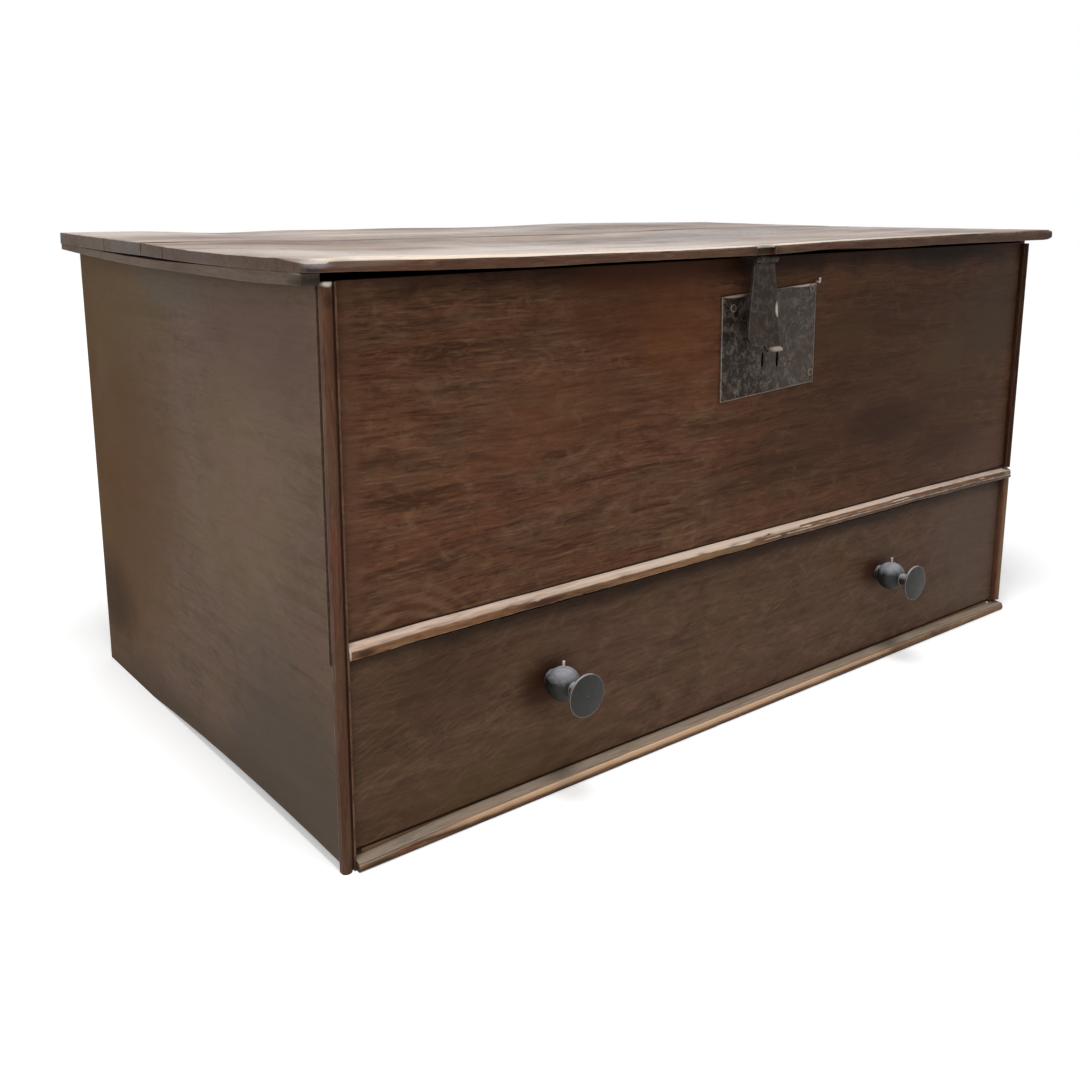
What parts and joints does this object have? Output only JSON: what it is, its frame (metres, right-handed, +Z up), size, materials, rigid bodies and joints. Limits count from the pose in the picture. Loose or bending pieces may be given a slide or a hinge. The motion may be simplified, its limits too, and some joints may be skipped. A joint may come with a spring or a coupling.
{
  "type": "mule chest",
  "caption": "Low boarded oak chest with a hinged cupped lid, an iron hasp and plate lock on the front, beaded corner strips and a drawer with turned knobs below.",
  "frame": {"origin": "on the floor, under the middle of the carcase, in the plane of the corner strips' front faces", "axes": "+X to the chest's right as seen from the front, +Y from front to back, +Z up"},
  "size_m": [0.9521, 0.5835, 0.4674],
  "materials": {
    "side_oak": "aged, dry, matt",
    "front_oak": "aged, waxed, satin",
    "moulding_oak": "worn pale on the edges",
    "lid_oak": "worn, waxed, semi-gloss",
    "inner_oak": "bare, dusty",
    "forged_iron": "forged, dark, mottled",
    "dark_knob": "dark patina, rubbed bright on the edges"
  },
  "bodies": {
    "carcase": {"back_plank_lower": "inner_oak", "back_plank_upper": "inner_oak", "base_moulding": "moulding_oak", "base_rail": "inner_oak", "bent_tack": "forged_iron", "bolt_guides": "forged_iron", "bolt_spring": "forged_iron", "corner_strip_left": "moulding_oak", "corner_strip_right_lower": "moulding_oak", "corner_strip_right_upper": "moulding_oak", "drawer_runner_left": "inner_oak", "drawer_runner_right": "inner_oak", "end_board_left": "side_oak", "end_board_right": "side_oak", "floor_plank_back": "inner_oak", "floor_plank_front": "inner_oak", "front_board": "front_oak", "hinge_pin_left": "forged_iron", "hinge_pin_right": "forged_iron", "hinge_tail_left": "forged_iron", "hinge_tail_nails": "forged_iron", "hinge_tail_right": "forged_iron", "key_pin": "forged_iron", "lock_case": "forged_iron", "lock_plate": "forged_iron", "plate_nails": "forged_iron", "waist_moulding": "moulding_oak"},
    "lid": {"lid_board_front": "lid_oak", "lid_board_back": "lid_oak", "cleat_left": "front_oak", "cleat_right": "front_oak", "hinge_strap_left": "forged_iron", "hinge_strap_right": "forged_iron", "hinge_strap_nails": "forged_iron", "hasp_hanger": "forged_iron", "hanger_nails": "forged_iron", "hasp_pin": "forged_iron"},
    "hasp": {"hasp": "forged_iron", "hasp_staple": "forged_iron"},
    "drawer": {"drawer_front": "front_oak", "drawer_side_left": "inner_oak", "drawer_side_right": "inner_oak", "drawer_back": "inner_oak", "drawer_bottom_front": "inner_oak", "drawer_bottom_back": "inner_oak", "knob_left": "dark_knob", "knob_right": "dark_knob", "knob_pins": "forged_iron"},
    "lock_bolt": {"lock_bolt": "forged_iron"}
  },
  "joints": [
    {"name": "lid_hinge", "type": "hinge", "parent": "carcase", "child": "lid", "pos_m": [0, 0.537, 0.451], "axis": [-1, 0, 0], "range_deg": [0, 100]},
    {"name": "hasp_hinge", "type": "hinge", "parent": "lid", "child": "hasp", "pos_m": [-0.022, -0.013, 0.4493], "axis": [-1, 0, 0], "range_deg": [-8.5, 80]},
    {"name": "drawer_slide", "type": "slide", "parent": "carcase", "child": "drawer", "axis": [0, -1, 0], "range_m": [0, 0.4]},
    {"name": "bolt_slide", "type": "slide", "parent": "carcase", "child": "lock_bolt", "axis": [-1, 0, 0], "range_m": [0, 0.009]}
  ]
}
